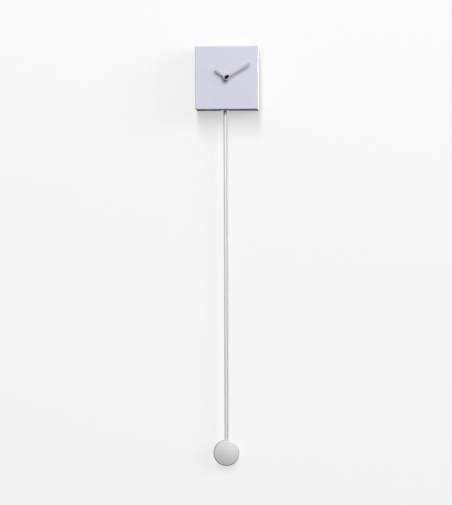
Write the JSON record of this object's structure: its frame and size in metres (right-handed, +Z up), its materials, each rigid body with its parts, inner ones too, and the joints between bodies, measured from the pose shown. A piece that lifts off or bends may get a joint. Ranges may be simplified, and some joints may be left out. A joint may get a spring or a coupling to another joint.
{
  "type": "pendulum wall clock",
  "caption": "Small square wall clock in a folded metal case with two plain hands and a long rod pendulum ending in a domed round bob.",
  "frame": {"origin": "centre of the round part of the keyhole in the hanger bracket, on the wall plane", "axes": "+Z up, -Y out of the wall towards the reader, +X to the right as the clock is read"},
  "size_m": [0.11, 0.0603, 0.746],
  "materials": {
    "powder_coat": "fine powder coat, pale lavender grey",
    "zinc_steel": "zinc plated",
    "black_moulding": "matt black moulding",
    "white_gear": "unfilled acetal",
    "brass": "turned",
    "rubber": "matt",
    "hand_silver": "satin silver",
    "gloss_black": "gloss black",
    "rod_metal": "satin anodised",
    "bob_metal": "satin lacquered",
    "steel": "bright steel",
    "cast_zinc": "as cast",
    "copper": "enamelled copper wire",
    "dark_magnet": "sintered magnet",
    "board": "green lacquered board",
    "resin": "black resin",
    "battery_jacket": "plain printed jacket, no mark",
    "bobbin_plastic": "natural moulding"
  },
  "bodies": {
    "clock_case": {"case_shell": "powder_coat", "hanger_bracket": "zinc_steel", "bracket_screws": "zinc_steel", "bracket_nuts": "zinc_steel", "movement_front_housing": "black_moulding", "movement_rear_cover": "black_moulding", "train_bridge": "white_gear", "threaded_post": "brass", "rubber_gasket": "rubber", "dial_washer": "brass", "dial_nut": "brass", "stepper_stator": "steel", "stepper_core": "steel", "stepper_bobbin": "bobbin_plastic", "stepper_winding": "copper", "circuit_board": "board", "clock_chip": "resin", "quartz_crystal": "steel", "aa_battery": "battery_jacket", "battery_contact_positive": "steel", "battery_contact_negative": "steel", "drive_coil_bobbin": "bobbin_plastic", "drive_coil_winding": "copper", "pendulum_pivot_pin": "steel", "pivot_clip": "steel"},
    "pendulum": {"pendulum_arm": "black_moulding", "pendulum_magnet": "dark_magnet", "hook_pin": "steel", "rod_hook": "zinc_steel", "pendulum_rod": "rod_metal", "rod_rivet": "steel", "bob_front_shell": "bob_metal", "bob_weight": "cast_zinc", "bob_back_plate": "bob_metal", "bob_screw": "zinc_steel"},
    "minute_group": {"minute_pipe": "brass", "minute_hand": "hand_silver", "hand_cap": "gloss_black"},
    "hour_group": {"hour_wheel": "white_gear", "hour_hand": "hand_silver"},
    "minute_wheel_group": {"minute_wheel": "white_gear"},
    "setting_group": {"setting_arbor": "white_gear", "setting_knob": "bobbin_plastic"},
    "rotor_group": {"rotor_pinion": "white_gear", "rotor_magnet": "dark_magnet"},
    "intermediate_group": {"intermediate_wheel": "white_gear"},
    "seconds_group": {"seconds_wheel": "white_gear"},
    "third_group": {"third_wheel": "white_gear"},
    "centre_group": {"centre_wheel": "white_gear"}
  },
  "joints": [
    {"name": "pendulum_swing", "type": "hinge", "parent": "clock_case", "child": "pendulum", "pos_m": [-0.004, -0.0175, -0.0685], "axis": [0, 1, 0], "range_deg": [-4, 4]},
    {"name": "minute_spin", "type": "hinge", "parent": "clock_case", "child": "minute_group", "pos_m": [0, -0.044, -0.037], "axis": [0, 1, 0], "continuous": true},
    {"name": "hour_spin", "type": "hinge", "parent": "clock_case", "child": "hour_group", "pos_m": [0, -0.0455, -0.037], "axis": [0, 1, 0], "continuous": true},
    {"name": "minute_wheel_spin", "type": "hinge", "parent": "clock_case", "child": "minute_wheel_group", "pos_m": [-0.00328, -0.044, -0.02798], "axis": [0, 1, 0], "continuous": true},
    {"name": "setting_knob_spin", "type": "hinge", "parent": "clock_case", "child": "setting_group", "pos_m": [-0.01035, -0.044, -0.02091], "axis": [0, 1, 0], "continuous": true},
    {"name": "rotor_spin", "type": "hinge", "parent": "clock_case", "child": "rotor_group", "pos_m": [0.01322, -0.034, -0.02486], "axis": [0, 1, 0], "continuous": true},
    {"name": "intermediate_spin", "type": "hinge", "parent": "clock_case", "child": "intermediate_group", "pos_m": [0.01105, -0.0365, -0.03298], "axis": [0, 1, 0], "continuous": true},
    {"name": "seconds_spin", "type": "hinge", "parent": "clock_case", "child": "seconds_group", "pos_m": [0, -0.0385, -0.037], "axis": [0, 1, 0], "continuous": true},
    {"name": "third_spin", "type": "hinge", "parent": "clock_case", "child": "third_group", "pos_m": [-0.0119, -0.04, -0.037], "axis": [0, 1, 0], "continuous": true},
    {"name": "centre_spin", "type": "hinge", "parent": "clock_case", "child": "centre_group", "pos_m": [0, -0.042, -0.037], "axis": [0, 1, 0], "continuous": true}
  ],
  "couplings": [
    {"joint": "hour_spin", "follows": "minute_spin", "ratio": 0.083333},
    {"joint": "minute_wheel_spin", "follows": "minute_spin", "ratio": -0.33333},
    {"joint": "setting_knob_spin", "follows": "minute_spin", "ratio": 0.85714},
    {"joint": "intermediate_spin", "follows": "rotor_spin", "ratio": -0.2},
    {"joint": "seconds_spin", "follows": "rotor_spin", "ratio": 0.033333},
    {"joint": "third_spin", "follows": "rotor_spin", "ratio": -0.0044444},
    {"joint": "centre_spin", "follows": "rotor_spin", "ratio": 0.00055556}
  ]
}
